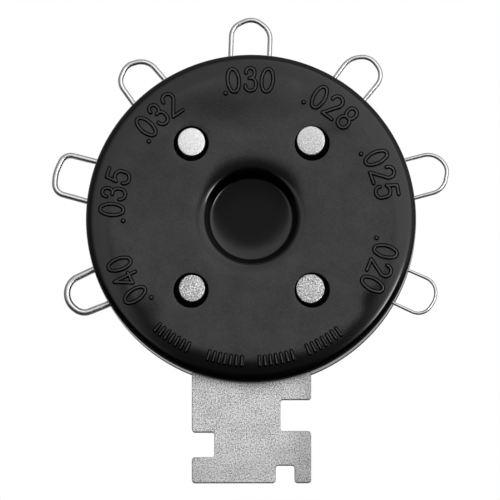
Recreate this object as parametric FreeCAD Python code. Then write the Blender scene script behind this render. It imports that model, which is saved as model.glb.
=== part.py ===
import FreeCAD, Part
import math
import os

V = FreeCAD.Vector
os.makedirs("parts", exist_ok=True)

# Round wire gap gauge with an electrode bending blade.
# Frame: origin on the disc axis in the flat back face, +Z out of the numbered
# front face, +Y towards the .030 wire, -Y along the blade. Millimetres.

# ---------------------------------------------------------------- dimensions
DISC_R = 25.40            # rim radius at the parting plane (2 in disc)
THICK = 8.00              # whole body, back face to numbered face
PART_Z = THICK / 2.0      # parting plane between the two moulded halves
DRAFT = 0.05              # the rim is this much smaller at each edge
CROWN_R0 = 21.00          # the front face is flat out to here
CROWN_R = 14.0            # then falls away on this radius
FRONT_EDGE_R = 1.00       # rounding of the front edge
BACK_EDGE_R = 0.25        # rounding of the back edge

RECESS_R = 6.50           # finger recess, floor radius
RECESS_TOP_R = 6.70       # wall radius just under the entry rounding
RECESS_DEPTH = 1.90       # to the edge of the floor
RECESS_DISH = 0.30        # the floor is this much deeper in its middle
RECESS_ENTRY = 0.50       # rounding at the mouth
RECESS_ROOT = 0.25        # rounding at the foot of the wall

PATTERN_X0 = 0.15         # the rivet pattern sits this far off the disc axis
PATTERN_Y0 = 0.11
RIVET_DX = 9.29           # half spacings of the rivet pattern
RIVET_DY = 11.33
RIVET_BORE_R = 1.55       # clearance hole for the shank
RIVET_SHANK_R = 1.50
CBORE_R = 2.68            # counterbores of the rivet heads
CBORE_DEPTH = 1.20
CBORE_ENTRY = 0.12        # small rounding at the mouth of the counterbore
BACK_HEAD_R = 2.10
HEAD_PROUD = 0.30         # the front heads stand this far out of the face
BACK_HEAD_SUNK = 0.15     # the back heads stay this far below the back face
HEAD_EDGE = 0.15
# the formed heads differ a little and sit off their holes: offset in x and y
# and radius of each front head, UL UR LL LR
HEADS = [(0.05, 0.24, 2.15), (-0.17, 0.39, 2.20), (0.14, 0.30, 2.03), (-0.28, 0.19, 2.20)]

BLADE_T = 1.60
BLADE_X0 = 0.05           # middle line of the blade
BLADE_HALF_W = 9.15
BLADE_END_Y = -40.55
TANG_TOP_Y = -7.90        # inner end of the tang, past the two lower rivets
TANG_NOTCH_R = 1.56       # half-round notches that hug the lower rivets
BLADE_CORNER = 0.52
BLADE_EDGE = 0.12         # rounding of the sheared edges
# slots: left, right and bottom (x from the blade's middle line, y in the frame)
LEFT_SLOT_X = -5.70
LEFT_SLOT_Y = (-36.60, -32.76)
RIGHT_SLOT_X = 4.425
RIGHT_SLOT_Y = (-32.61, -27.76)
BOTTOM_SLOT_X = (3.685, 6.59)
BOTTOM_SLOT_Y = -37.86
SLOT_CORNER = 0.40

WIRE_FOOT = 1.70          # bent foot at the inner end of each leg
WIRE_END_U = 18.90        # radial place of the feet
CHANNEL_GAP = 0.12        # each side of a wire in its moulded channel

# wires: name, diameter (inch sizes .020 to .040), direction in degrees, then
# the centre line as seen looking inward along +Z, in the wire's own axes:
# t across (counter-clockwise side positive), u outward from the disc axis.
# Each is leg, three corners with their bend radii, leg.
WIRES = [
    ("wire_030", 0.762, 90.0,
     [(3.21, 24.5), (3.01, 29.92), (-0.24, 31.48), (-2.96, 29.36), (-2.77, 24.5)],
     [2.21, 2.58, 2.68]),
    ("wire_032", 0.813, 128.0,
     [(3.17, 24.5), (2.94, 29.48), (0.38, 30.83), (-2.75, 29.63), (-2.97, 24.5)],
     [2.22, 2.21, 2.88]),
    ("wire_035", 0.889, 166.0,
     [(3.24, 24.5), (3.07, 30.45), (0.19, 31.10), (-3.11, 30.36), (-3.06, 24.5)],
     [1.71, 6.00, 1.62]),
    ("wire_040", 1.016, 204.6,
     [(2.64, 24.5), (2.37, 29.64), (-0.33, 31.12), (-3.15, 29.58), (-3.20, 24.5)],
     [2.16, 2.87, 2.65]),
    ("wire_028", 0.711, 52.9,
     [(3.02, 24.5), (3.07, 29.38), (0.51, 31.26), (-2.90, 30.24), (-2.65, 24.5)],
     [3.60, 2.50, 2.37]),
    ("wire_025", 0.635, 14.5,
     [(3.02, 24.5), (3.03, 30.13), (0.08, 31.30), (-2.97, 29.83), (-3.04, 24.5)],
     [3.01, 2.30, 2.66]),
    ("wire_020", 0.508, -24.0,
     [(2.69, 24.5), (2.73, 30.07), (0.11, 30.86), (-2.96, 30.24), (-2.85, 24.5)],
     [2.45, 3.10, 2.17]),
]

# raised size numerals: text, the direction of each digit and of the leading
# point in degrees
LABELS = [("030", (97.15, 90.0, 83.1), 101.35), ("028", (60.35, 53.2, 45.9), 65.35),
          ("025", (25.4, 18.1, 10.85), 29.9), ("020", (-14.35, -21.8, -28.95), -9.4),
          ("032", (138.8, 131.6, 124.8), 143.0), ("035", (176.6, 169.75, 162.45), 181.4),
          ("040", (213.9, 206.6, 199.6), 219.0)]
DIGIT_R = 21.35           # radius of the digits' middle
DIGIT_H = 3.56            # height and width of a digit's stroke line
DIGIT_W = 1.76
STROKE = 0.46             # stroke width
DOT_R = 0.28
RELIEF = 0.26             # how far the numerals stand out of the face
RELIEF_EDGE = 0.08        # bevel round the top of each stroke

# plain raised ribs in four groups along the lower arc
RIB_GROUPS = [(228.6, 245.4), (252.0, 267.6), (272.4, 288.0), (292.2, 308.6)]
RIBS_PER_GROUP = 7
RIB_R = 22.15
RIB_LEN = 1.75
RIB_W = 0.40
RIB_RELIEF = 0.20


# ------------------------------------------------------------------- helpers
def polar(r, deg):
    a = math.radians(deg)
    return V(r * math.cos(a), r * math.sin(a), 0)


def filleted_path(points, radii):
    """Edges of an open polyline whose inner corners carry the given radii."""
    edges = []
    last = points[0]
    for i in range(1, len(points) - 1):
        a, b, c = points[i - 1], points[i], points[i + 1]
        u = (a - b).normalize()
        w = (c - b).normalize()
        half = math.acos(max(-1.0, min(1.0, u.dot(w)))) / 2.0
        r = radii[i - 1]
        if half > math.pi / 2 - 1e-4 or r <= 0:
            edges.append(Part.LineSegment(last, b).toShape())
            last = b
            continue
        t = r / math.tan(half)
        p = b + u * t
        q = b + w * t
        mid_dir = (u + w).normalize()
        m = b + mid_dir * (r / math.sin(half) - r)
        if (p - last).Length > 1e-6:
            edges.append(Part.LineSegment(last, p).toShape())
        edges.append(Part.Arc(p, m, q).toShape())
        last = q
    edges.append(Part.LineSegment(last, points[-1]).toShape())
    return edges


def single_solid(shape):
    s = shape.removeSplitter()
    if len(s.Solids) == 1:
        return s.Solids[0]
    return s


def export(name, shape):
    shape.exportStep(os.path.join("parts", name + ".step"))
    bb = shape.BoundBox
    print("%-14s solids %d faces %4d volume %9.3f valid %s  z %.3f..%.3f" % (
        name, len(shape.Solids), len(shape.Faces), shape.Volume, shape.isValid(), bb.ZMin, bb.ZMax))


# --------------------------------------------------------------- wire routes
def wire_points(diam, deg, line):
    """Full centre line: foot, leg, loop, leg, foot, with its bend radii."""
    a = math.radians(deg)
    eu = V(math.cos(a), math.sin(a), 0)
    et = V(-math.sin(a), math.cos(a), 0)

    def at(t, u):
        return et * t + eu * u + V(0, 0, PART_Z)

    first, last = line[0], line[-1]

    def inward(p, q, u_end):
        """Point on the line q->p carried on inward to radial place u_end."""
        k = (u_end - p[1]) / (p[1] - q[1])
        return (p[0] + (p[0] - q[0]) * k, u_end)

    s = inward(line[0], line[1], WIRE_END_U)
    e = inward(line[-1], line[-2], WIRE_END_U)
    foot_s = (s[0] - WIRE_FOOT, WIRE_END_U)
    foot_e = (e[0] + WIRE_FOOT, WIRE_END_U)
    pts = [foot_s, s] + list(line[1:-1]) + [e, foot_e]
    return [at(*p) for p in pts], [at(*p) for p in (s, e)], eu, et


def make_wire(name, diam, deg, line, radii):
    pts, _, eu, et = wire_points(diam, deg, line)
    foot_r = max(0.55, 0.8 * diam)
    edges = filleted_path(pts, [foot_r] + list(radii) + [foot_r])
    path = Part.Wire(edges)
    tangent = (pts[1] - pts[0]).normalize()
    section = Part.Wire([Part.makeCircle(diam / 2.0, pts[0], tangent)])
    solid = path.makePipeShell([section], True, True, 2)
    length = path.Length
    want = math.pi * diam * diam / 4.0 * length
    print("  %s length %.2f mm, volume %.3f, section x length %.3f" % (name, length, solid.Volume, want))
    # the sheared ends of the wire carry a small chamfer
    return solid


def channel_cutters(diam, deg, line):
    """Square channels of one wire's legs and feet, about the parting plane."""
    pts, ends, eu, et = wire_points(diam, deg, line)
    half = diam / 2.0 + CHANNEL_GAP
    out = []

    def slab(p, q, ext0, ext1):
        d = (q - p)
        n = d.normalize()
        length = (q - p).Length
        side = V(-n.y, n.x, 0)
        p0 = p - n * ext0
        q0 = q + n * ext1
        quad = [p0 + side * half, p0 - side * half, q0 - side * half, q0 + side * half]
        quad = [V(c.x, c.y, PART_Z - diam / 2.0) for c in quad]
        face = Part.Face(Part.makePolygon(quad + [quad[0]]))
        return face.extrude(V(0, 0, diam))

    # feet
    out.append(slab(pts[0], pts[1], 0.10, half))
    out.append(slab(pts[-1], pts[-2], 0.10, half))
    # legs, run out past the rim
    for inner, outer in ((pts[1], pts[2]), (pts[-2], pts[-3])):
        n = V(outer.x - inner.x, outer.y - inner.y, 0).normalize()
        out.append(slab(inner, inner + n * 9.0, half, 0.0))
    return out


# --------------------------------------------------------------------- blade
def blade_outline_face():
    x0, x1 = BLADE_X0 - BLADE_HALF_W, BLADE_X0 + BLADE_HALF_W
    lx = BLADE_X0 + LEFT_SLOT_X
    rx = BLADE_X0 + RIGHT_SLOT_X
    bx0, bx1 = BLADE_X0 + BOTTOM_SLOT_X[0], BLADE_X0 + BOTTOM_SLOT_X[1]
    c, s = BLADE_CORNER, SLOT_CORNER
    # counter-clockwise from the lower left corner; (x, y, corner radius)
    pts = [
        (x0, BLADE_END_Y, c), (bx0, BLADE_END_Y, c), (bx0, BOTTOM_SLOT_Y, s),
        (bx1, BOTTOM_SLOT_Y, s), (bx1, BLADE_END_Y, c), (x1, BLADE_END_Y, c),
        (x1, RIGHT_SLOT_Y[0], c), (rx, RIGHT_SLOT_Y[0], s), (rx, RIGHT_SLOT_Y[1], s),
        (x1, RIGHT_SLOT_Y[1], c), (x1, TANG_TOP_Y, 1.0), (x0, TANG_TOP_Y, 1.0),
        (x0, LEFT_SLOT_Y[1], c), (lx, LEFT_SLOT_Y[1], s), (lx, LEFT_SLOT_Y[0], s),
        (x0, LEFT_SLOT_Y[0], c),
    ]
    z = PART_Z - BLADE_T / 2.0
    ring = [V(p[0], p[1], z) for p in pts]
    rad = [p[2] for p in pts]
    n = len(ring)
    start = (ring[0] + ring[1]) * 0.5
    open_pts = [start] + ring[1:] + [ring[0], start]
    open_r = rad[1:] + [rad[0]]
    return Part.Face(Part.Wire(filleted_path(open_pts, open_r)))


def blade_solid():
    body = blade_outline_face().extrude(V(0, 0, BLADE_T))
    for sx in (-1, 1):
        c = V(PATTERN_X0 + sx * RIVET_DX, PATTERN_Y0 - RIVET_DY, PART_Z - BLADE_T)
        body = body.cut(Part.makeCylinder(TANG_NOTCH_R, 3 * BLADE_T, c))
    # roll the sheared edges of the part that stands out of the body
    edges = []
    for e in body.Edges:
        bb = e.BoundBox
        flat = bb.ZMax - bb.ZMin < 1e-6
        if flat and bb.YMax < -25.6:
            edges.append(e)
    # the two long sides reach inside the body, so they are taken as well
    for e in body.Edges:
        bb = e.BoundBox
        if bb.ZMax - bb.ZMin < 1e-6 and bb.XMax - bb.XMin < 1e-6 and bb.YMin < -25.6 <= bb.YMax:
            edges.append(e)
    return body.makeFillet(BLADE_EDGE, edges)


def blade_pocket():
    """Room for the tang, cut into both halves; open at the rim."""
    g = 0.06
    x0, x1 = BLADE_X0 - BLADE_HALF_W - g, BLADE_X0 + BLADE_HALF_W + g
    top = TANG_TOP_Y + g
    return Part.makeBox(x1 - x0, top + 30.0, BLADE_T, V(x0, -30.0, PART_Z - BLADE_T / 2.0))


# -------------------------------------------------------------------- rivets
RIVET_AT = [(PATTERN_X0 - RIVET_DX, PATTERN_Y0 + RIVET_DY), (PATTERN_X0 + RIVET_DX, PATTERN_Y0 + RIVET_DY),
            (PATTERN_X0 - RIVET_DX, PATTERN_Y0 - RIVET_DY), (PATTERN_X0 + RIVET_DX, PATTERN_Y0 - RIVET_DY)]


def head(cx, cy, r, z0, z1, edge_at_top):
    cyl = Part.makeCylinder(r, z1 - z0, V(cx, cy, z0))
    z = z1 if edge_at_top else z0
    rim = [e for e in cyl.Edges if abs(e.BoundBox.ZMin - z) < 1e-6 and abs(e.BoundBox.ZMax - z) < 1e-6]
    return cyl.makeFillet(HEAD_EDGE, rim)


def rivet(i):
    cx, cy = RIVET_AT[i]
    ox, oy, r = HEADS[i]
    z_back, z_front = CBORE_DEPTH, THICK - CBORE_DEPTH
    shank = Part.makeCylinder(RIVET_SHANK_R, z_front - z_back + 0.4, V(cx, cy, z_back - 0.2))
    front = head(cx + ox, cy + oy, r, z_front, THICK + HEAD_PROUD, True)
    back = head(cx, cy, BACK_HEAD_R, BACK_HEAD_SUNK, z_back, False)
    return single_solid(shank.fuse([front, back]))


# ------------------------------------------------------------ moulded halves
def front_z(r):
    """Height of the front face over the back face at radius r."""
    if r <= CROWN_R0:
        return THICK
    return THICK - (CROWN_R - math.sqrt(CROWN_R ** 2 - (r - CROWN_R0) ** 2))


def front_revolve():
    """Front half as one turned shape with its recess."""
    # edge rounding: a circle tangent to the crown arc and to the drafted wall
    wall_r = DISC_R - DRAFT
    fr = FRONT_EDGE_R
    # centre of the rounding: inside the wall by fr, and CROWN_R - fr from the crown's centre
    cr = wall_r - fr
    crown_c = V(CROWN_R0, 0, THICK - CROWN_R)
    cz = crown_c.z + math.sqrt((CROWN_R - fr) ** 2 - (cr - CROWN_R0) ** 2)
    c = V(cr, 0, cz)
    n = (c - crown_c).normalize()
    touch = c + n * fr                     # on the crown arc
    wall_top = V(wall_r, 0, cz)
    mid_n = (n + V(1, 0, 0)).normalize()
    # crown arc midpoint
    a0 = math.pi / 2
    a1 = math.atan2(touch.z - crown_c.z, touch.x - crown_c.x)
    am = (a0 + a1) / 2
    crown_mid = crown_c + V(CROWN_R * math.cos(am), 0, CROWN_R * math.sin(am))

    # recess
    floor_edge_z = THICK - RECESS_DEPTH
    dish_r = (RECESS_R ** 2 + RECESS_DISH ** 2) / (2 * RECESS_DISH)
    dish_c = V(0, 0, floor_edge_z - RECESS_DISH + dish_r)
    edges = []
    p_axis_low = V(0, 0, PART_Z)
    p_floor0 = V(0, 0, floor_edge_z - RECESS_DISH)

    def on_dish(r):
        return V(r, 0, dish_c.z - math.sqrt(dish_r ** 2 - r * r))

    p_floor1 = on_dish(RECESS_R - RECESS_ROOT)
    p_floor_m = on_dish((RECESS_R - RECESS_ROOT) / 2)
    p_root = V(RECESS_R, 0, p_floor1.z + RECESS_ROOT)
    ent = RECESS_ENTRY
    p_wall = V(RECESS_TOP_R, 0, THICK - ent)
    p_face = V(RECESS_TOP_R + ent, 0, THICK)
    root_m = V(RECESS_R - RECESS_ROOT * (1 - math.cos(math.radians(45))), 0,
               p_floor1.z + RECESS_ROOT * (1 - math.sin(math.radians(45))))
    ent_m = V(RECESS_TOP_R + ent * (1 - math.cos(math.radians(45))), 0,
              THICK - ent * (1 - math.sin(math.radians(45))))
    edges.append(Part.LineSegment(p_axis_low, p_floor0).toShape())
    edges.append(Part.Arc(p_floor0, p_floor_m, p_floor1).toShape())
    edges.append(Part.Arc(p_floor1, root_m, p_root).toShape())
    edges.append(Part.LineSegment(p_root, p_wall).toShape())
    edges.append(Part.Arc(p_wall, ent_m, p_face).toShape())
    edges.append(Part.LineSegment(p_face, V(CROWN_R0, 0, THICK)).toShape())
    edges.append(Part.Arc(V(CROWN_R0, 0, THICK), crown_mid, touch).toShape())
    edges.append(Part.Arc(touch, c + mid_n * fr, wall_top).toShape())
    edges.append(Part.LineSegment(wall_top, V(DISC_R, 0, PART_Z)).toShape())
    edges.append(Part.LineSegment(V(DISC_R, 0, PART_Z), p_axis_low).toShape())
    face = Part.Face(Part.Wire(edges))
    return face.revolve(V(0, 0, 0), V(0, 0, 1), 360)


def back_revolve():
    wall_r = DISC_R - DRAFT
    br = BACK_EDGE_R
    edges = [
        Part.LineSegment(V(0, 0, PART_Z), V(0, 0, 0)).toShape(),
        Part.LineSegment(V(0, 0, 0), V(wall_r - br, 0, 0)).toShape(),
        Part.Arc(V(wall_r - br, 0, 0), V(wall_r - br * (1 - math.sin(math.radians(45))), 0, br * (1 - math.cos(math.radians(45)))), V(wall_r, 0, br)).toShape(),
        Part.LineSegment(V(wall_r, 0, br), V(DISC_R, 0, PART_Z)).toShape(),
        Part.LineSegment(V(DISC_R, 0, PART_Z), V(0, 0, PART_Z)).toShape(),
    ]
    return Part.Face(Part.Wire(edges)).revolve(V(0, 0, 0), V(0, 0, 1), 360)


def rivet_hole_cutter(i, front):
    """Shank hole and counterbore, with a small rounding at its mouth."""
    cx, cy = RIVET_AT[i]
    e = CBORE_ENTRY
    z_step = THICK - CBORE_DEPTH
    prof = [V(0, 0, PART_Z - 1), V(RIVET_BORE_R, 0, PART_Z - 1), V(RIVET_BORE_R, 0, z_step),
            V(CBORE_R, 0, z_step), V(CBORE_R, 0, THICK - e)]
    edges = [Part.LineSegment(prof[k], prof[k + 1]).toShape() for k in range(len(prof) - 1)]
    m = V(CBORE_R + e * (1 - math.cos(math.radians(45))), 0, THICK - e * (1 - math.sin(math.radians(45))))
    top = V(CBORE_R + e, 0, THICK)
    edges.append(Part.Arc(prof[-1], m, top).toShape())
    edges.append(Part.LineSegment(top, V(CBORE_R + e, 0, THICK + 1)).toShape())
    edges.append(Part.LineSegment(V(CBORE_R + e, 0, THICK + 1), V(0, 0, THICK + 1)).toShape())
    edges.append(Part.LineSegment(V(0, 0, THICK + 1), prof[0]).toShape())
    s = Part.Face(Part.Wire(edges)).revolve(V(0, 0, 0), V(0, 0, 1), 360)
    if not front:
        s = s.mirror(V(0, 0, PART_Z), V(0, 0, 1))
    s.translate(V(cx, cy, 0))
    return s


# ------------------------------------------------------------------ numerals
# Stroke lines of each digit, DIGIT_H high and centred on the origin: closed
# rings and open paths, as corner points with bend radii.
def digit_paths(ch):
    w, h = DIGIT_W / 2.0, DIGIT_H / 2.0
    if ch == "0":
        return [("ring", [(0, -h), (0.414 * w, -h), (w, -0.414 * h), (w, 0.414 * h), (0.414 * w, h),
                          (-0.414 * w, h), (-w, 0.414 * h), (-w, -0.414 * h), (-0.414 * w, -h)],
                 [0.59, 3.0, 3.0, 0.59, 0.59, 3.0, 3.0, 0.59])]
    if ch == "8":
        return [("ring", [(0, 0.06), (0.73, 0.06), (0.73, h), (-0.73, h), (-0.73, 0.06)], [0.725] * 4),
                ("ring", [(0, -h), (0.85, -h), (0.85, 0.06), (-0.85, 0.06), (-0.85, -h)], [0.845] * 4)]
    if ch == "2":
        return [("open", [(-0.86, 0.86), (-0.86, h), (0.83, h), (0.83, 0.62), (-0.86, -h), (0.93, -h)],
                 [0.84, 0.84, 0.90, 0.0])]
    if ch == "3":
        return [("open", [(-0.70, 1.00), (-0.70, h), (0.60, h), (0.60, 0.20), (-0.20, 0.20)], [0.64, 0.64, 0.62]),
                ("open", [(-0.20, 0.20), (0.80, 0.20), (0.80, -h), (-0.82, -h), (-0.82, -0.95)], [0.80, 0.80, 0.80])]
    if ch == "4":
        return [("open", [(0.50, -h), (0.50, h), (-0.88, -0.70), (0.86, -0.70)], [0.0, 0.0])]
    if ch == "5":
        return [("open", [(0.80, 1.64), (-0.62, 1.66), (-0.86, 0.06), (-0.36, 0.48), (0.88, 0.48), (0.88, -h), (-0.86, -h), (-0.86, -0.98)],
                 [0.0, 0.0, 0.42, 0.88, 0.86, 0.79])]
    raise ValueError(ch)


def segments(points, radii):
    """Straight runs and arcs of a polyline whose corners are rounded.

    Each is ("line", a, b) or ("arc", centre, start, sweep in degrees)."""
    out = []
    last = points[0]
    for i in range(1, len(points) - 1):
        a, b, c = points[i - 1], points[i], points[i + 1]
        u = (a - b).normalize()
        w = (c - b).normalize()
        half = math.acos(max(-1.0, min(1.0, u.dot(w)))) / 2.0
        r = radii[i - 1]
        if r <= 0 or half > math.pi / 2 - 1e-4:
            out.append(("line", last, b))
            last = b
            continue
        t = r / math.tan(half)
        p, q = b + u * t, b + w * t
        centre = b + (u + w).normalize() * (r / math.sin(half))
        if (p - last).Length > 1e-4:
            out.append(("line", last, p))
        turn = 180.0 - math.degrees(2 * half)
        left = u.cross(w).z < 0          # the path turns to the left here
        out.append(("arc", centre, p, turn if left else -turn))
        last = q
    if (points[-1] - last).Length > 1e-4:
        out.append(("line", last, points[-1]))
    return out


def stroke_solids(segs, closed, width, z0, z1, bevel):
    """Bevelled raised stroke along the segments, with round ends."""
    w, b = width / 2.0, bevel
    prof = [(-w, z0), (w, z0), (w, z1 - b), (w - b, z1), (b - w, z1), (-w, z1 - b)]
    out = []

    def section(p, side):
        ring = [p + side * x + V(0, 0, z) for x, z in prof]
        return Part.Face(Part.makePolygon(ring + [ring[0]]))

    stops = []
    for s in segs:
        if s[0] == "line":
            a, e = s[1], s[2]
            d = (e - a).normalize()
            out.append(section(a, V(-d.y, d.x, 0)).extrude(e - a))
            stops += [a, e]
        else:
            c, a, sweep = s[1], s[2], s[3]
            side = (a - c).normalize()
            axis = V(0, 0, 1) if sweep > 0 else V(0, 0, -1)
            out.append(section(a, side).revolve(c, axis, abs(sweep)))
    if not closed:
        half = [(0, z0), (w, z0), (w, z1 - b), (w - b, z1), (0, z1)]
        seen = []
        ends = [segs[0][1] if segs[0][0] == "line" else segs[0][2], stops[-1]]
        # sharp corners between two straight runs get a round cap as well
        for s0, s1 in zip(segs, segs[1:]):
            if s0[0] == "line" and s1[0] == "line":
                ends.append(s0[2])
        for p in ends:
            if any((p - q).Length < 1e-5 for q in seen):
                continue
            seen.append(p)
            ring = [V(p.x + x, p.y, z) for x, z in half]
            out.append(Part.Face(Part.makePolygon(ring + [ring[0]])).revolve(p, V(0, 0, 1), 360))
    return out


def on_face(solid, r, deg, reach):
    """Move a raised detail, made flat at the origin, onto the crowned face.

    It lies along the chord of the face between r - reach and r + reach."""
    z_in, z_out = front_z(r - reach), front_z(r + reach)
    slope = math.degrees(math.atan2(z_in - z_out, 2.0 * reach))
    solid.rotate(V(0, 0, 0), V(1, 0, 0), -slope)
    solid.translate(V(0, r, (z_in + z_out + 2.0 * front_z(r)) / 4.0))
    solid.rotate(V(0, 0, 0), V(0, 0, 1), deg - 90.0)
    return solid


def joined(pieces):
    s = pieces[0]
    if len(pieces) > 1:
        s = s.fuse(pieces[1:]).removeSplitter()
    return s


def digit(ch):
    pieces = []
    for kind, pts, radii in digit_paths(ch):
        p = [V(x, y, 0) for x, y in pts]
        if kind == "ring":
            # the ring starts in the middle of its first side
            segs = segments(p + [p[0]], radii)
            pieces += stroke_solids(segs, True, STROKE, -0.45, RELIEF, RELIEF_EDGE)
        else:
            pieces += stroke_solids(segments(p, radii), False, STROKE, -0.45, RELIEF, RELIEF_EDGE)
    return joined(pieces)


def label_solids():
    out = []
    for text, degs, dot_deg in LABELS:
        for ch, deg in zip(text, degs):
            out.append(on_face(digit(ch), DIGIT_R, deg, DIGIT_H / 2.0))
        # leading point at the foot of the first digit
        half = [(0, -0.45), (DOT_R, -0.45), (DOT_R, RELIEF - RELIEF_EDGE), (DOT_R - RELIEF_EDGE, RELIEF), (0, RELIEF)]
        ring = [V(x, 0, z) for x, z in half]
        dot = Part.Face(Part.makePolygon(ring + [ring[0]])).revolve(V(0, 0, 0), V(0, 0, 1), 360)
        out.append(on_face(dot, DIGIT_R - DIGIT_H / 2.0, dot_deg, DOT_R))
    return out


def rib_solids():
    out = []
    for a0, a1 in RIB_GROUPS:
        for i in range(RIBS_PER_GROUP):
            deg = a0 + (a1 - a0) * (i + 0.5) / RIBS_PER_GROUP
            l = RIB_LEN / 2.0 - RIB_W / 2.0
            segs = [("line", V(0, -l, 0), V(0, l, 0))]
            out.append(on_face(joined(stroke_solids(segs, False, RIB_W, -0.45, RIB_RELIEF, 0.07)), RIB_R, deg, RIB_LEN / 2.0))
    return out


# --------------------------------------------------------------------- build
channels = []
for name, diam, deg, line, radii in WIRES:
    export(name, make_wire(name, diam, deg, line, radii))
    channels.extend(channel_cutters(diam, deg, line))

export("bending_blade", blade_solid())

rivets = Part.makeCompound([rivet(i) for i in range(4)])
export("rivets", rivets)

pocket = blade_pocket()

front = front_revolve()
front = front.cut([pocket] + channels + [rivet_hole_cutter(i, True) for i in range(4)])
print("front turned and cut:", front.isValid(), len(front.Solids))
raised = label_solids() + rib_solids()
print("raised details:", len(raised), all(s.isValid() for s in raised))
front = front.fuse(raised)
export("front_cover", single_solid(front))

back = back_revolve()
back = back.cut([pocket] + channels + [rivet_hole_cutter(i, False) for i in range(4)])
export("rear_cover", single_solid(back))
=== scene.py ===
import math

import bmesh
import bpy
import numpy as np
from mathutils import Matrix, Vector
from mathutils.geometry import delaunay_2d_cdt


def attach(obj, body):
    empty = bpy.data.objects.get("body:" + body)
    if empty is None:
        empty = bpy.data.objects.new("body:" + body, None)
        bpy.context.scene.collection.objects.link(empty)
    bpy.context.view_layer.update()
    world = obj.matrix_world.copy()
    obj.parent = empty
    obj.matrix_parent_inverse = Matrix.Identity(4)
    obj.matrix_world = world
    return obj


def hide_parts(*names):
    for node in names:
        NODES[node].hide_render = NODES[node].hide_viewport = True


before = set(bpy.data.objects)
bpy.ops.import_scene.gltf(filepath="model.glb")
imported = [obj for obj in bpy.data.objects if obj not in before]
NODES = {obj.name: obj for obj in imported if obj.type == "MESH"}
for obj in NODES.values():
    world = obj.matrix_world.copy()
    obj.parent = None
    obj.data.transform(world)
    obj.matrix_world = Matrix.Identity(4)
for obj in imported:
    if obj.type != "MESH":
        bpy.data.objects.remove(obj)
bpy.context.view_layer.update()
scene = bpy.context.scene
MM = 0.001
CAM_AZ, CAM_EL = -78.0, 83.9      # where the picture is taken from, degrees

# ------------------------------------------------------------------ node help


class Tree:
    """Small helper round a node tree."""

    def __init__(self, tree):
        self.t = tree
        self.n = tree.nodes
        self.l = tree.links
        self.n.clear()

    def node(self, kind, **props):
        nd = self.n.new(kind)
        for k, v in props.items():
            setattr(nd, k, v)
        return nd

    def link(self, a, b):
        self.l.new(a, b)

    def put(self, nd, name, value):
        """Set an input by value, or link it when the value is a socket."""
        s = nd.inputs[name]
        if isinstance(value, bpy.types.NodeSocket):
            self.l.new(value, s)
        else:
            s.default_value = value
        return nd

    def math(self, op, a, b=None, c=None, clamp=False):
        nd = self.node("ShaderNodeMath", operation=op, use_clamp=clamp)
        for i, v in enumerate((a, b, c)):
            if v is not None:
                self.put(nd, i, v)
        return nd.outputs[0]

    def ramp(self, fac, a, b, lo=0.0, hi=1.0, smooth=True):
        """Map fac from [a, b] to [lo, hi], clamped."""
        nd = self.node("ShaderNodeMapRange", interpolation_type="SMOOTHSTEP" if smooth else "LINEAR", clamp=True)
        self.put(nd, "Value", fac)
        self.put(nd, "From Min", a)
        self.put(nd, "From Max", b)
        self.put(nd, "To Min", lo)
        self.put(nd, "To Max", hi)
        return nd.outputs["Result"]

    def noise(self, vec, scale, detail=2.0, rough=0.5, dist=0.0):
        nd = self.node("ShaderNodeTexNoise")
        self.l.new(vec, nd.inputs["Vector"])
        nd.inputs["Scale"].default_value = scale
        nd.inputs["Detail"].default_value = detail
        nd.inputs["Roughness"].default_value = rough
        nd.inputs["Distortion"].default_value = dist
        return nd.outputs["Fac"]

    def mix(self, fac, a, b):
        nd = self.node("ShaderNodeMix", data_type="RGBA", blend_type="MIX")
        self.put(nd, 0, fac)
        for i, v in ((6, a), (7, b)):
            s = nd.inputs[i]
            if isinstance(v, bpy.types.NodeSocket):
                self.l.new(v, s)
            else:
                s.default_value = tuple(v) + (1.0,) * (4 - len(v))
        return nd.outputs[2]


def material(name):
    m = bpy.data.materials.new(name)
    m.use_nodes = True
    return m, Tree(m.node_tree)


def set_material(obj, *mats):
    obj.data.materials.clear()
    for m in mats:
        obj.data.materials.append(m)


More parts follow.
